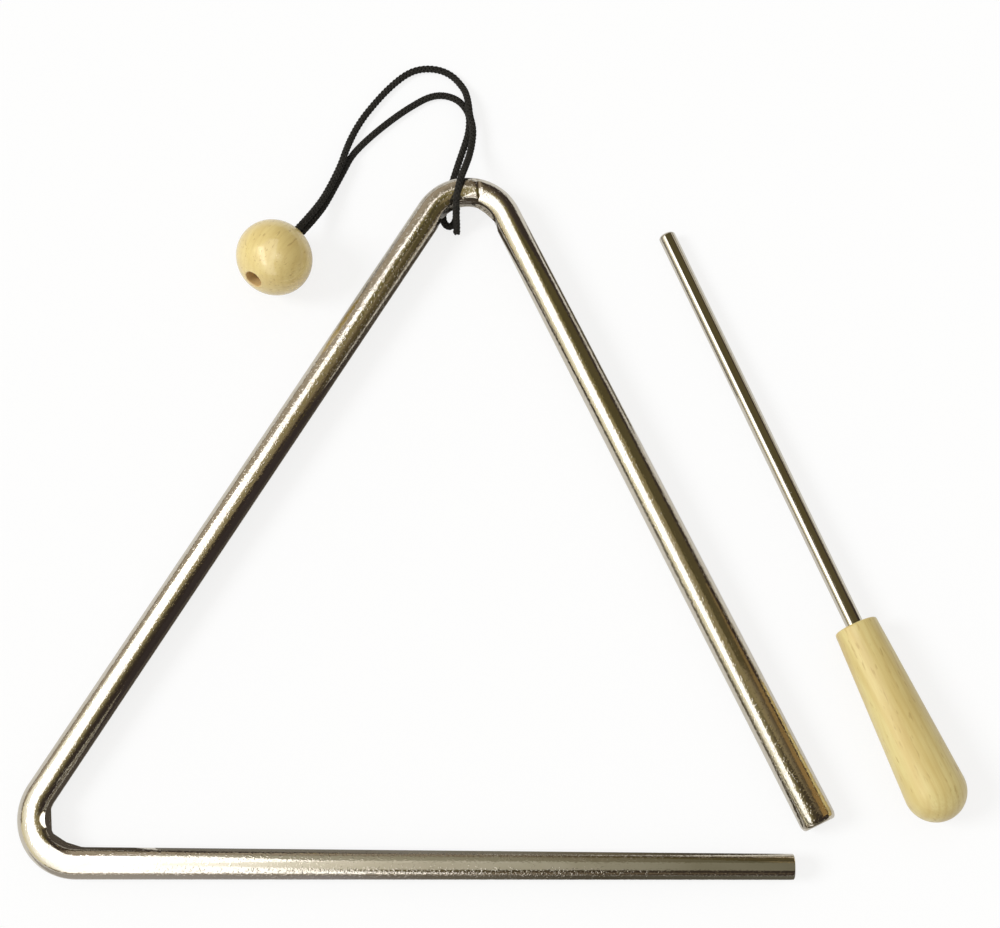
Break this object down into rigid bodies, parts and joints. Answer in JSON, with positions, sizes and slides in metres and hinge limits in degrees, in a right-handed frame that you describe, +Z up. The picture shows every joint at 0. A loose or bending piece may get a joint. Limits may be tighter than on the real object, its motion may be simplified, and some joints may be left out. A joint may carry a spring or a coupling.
{
  "type": "triangle instrument",
  "caption": "Percussion triangle bent from one plated steel bar, open at a corner, with a tied hanging cord and wooden grip bead, and a steel beater with a turned wooden handle.",
  "frame": {"origin": "on the table, under the middle of the box of the bar and the beater as they lie", "axes": "+Z up from the table, +X along the bottom leg towards the open corner, +Y towards the tied corner"},
  "size_m": [0.2384, 0.2258, 0.0209],
  "materials": {
    "plated_bar": "bright nickel plating over bent round bar",
    "plated_rod": "bright nickel plating",
    "black_cord": "black braided cord",
    "beech_bead": "lacquered beech, glossy",
    "beech_handle": "lacquered beech, satin"
  },
  "bodies": {
    "triangle": {"triangle_bar": "plated_bar", "cord_front_tie": "black_cord", "cord_back_tie": "black_cord"},
    "cord_loop": {"cord_outer_strand": "black_cord", "cord_inner_strand": "black_cord", "stopper_knot": "black_cord"},
    "grip_bead": {"bead": "beech_bead"},
    "beater": {"beater_rod": "plated_rod", "beater_handle": "beech_handle"}
  },
  "joints": [
    {"name": "cord_swing", "type": "hinge", "parent": "triangle", "child": "cord_loop", "pos_m": [-0.0063, 0.1153, 0.002], "axis": [0, 0, 1], "range_deg": [-80, 10]},
    {"name": "bead_turn", "type": "hinge", "parent": "cord_loop", "child": "grip_bead", "pos_m": [-0.0585, 0.0696, 0.0105], "axis": [0.5359, 0.7857, -0.309], "range_deg": [-180, 180]},
    {"name": "beater_lift", "type": "slide", "parent": "triangle", "child": "beater", "axis": [0, 0, 1], "range_m": [0, 0.15]}
  ]
}
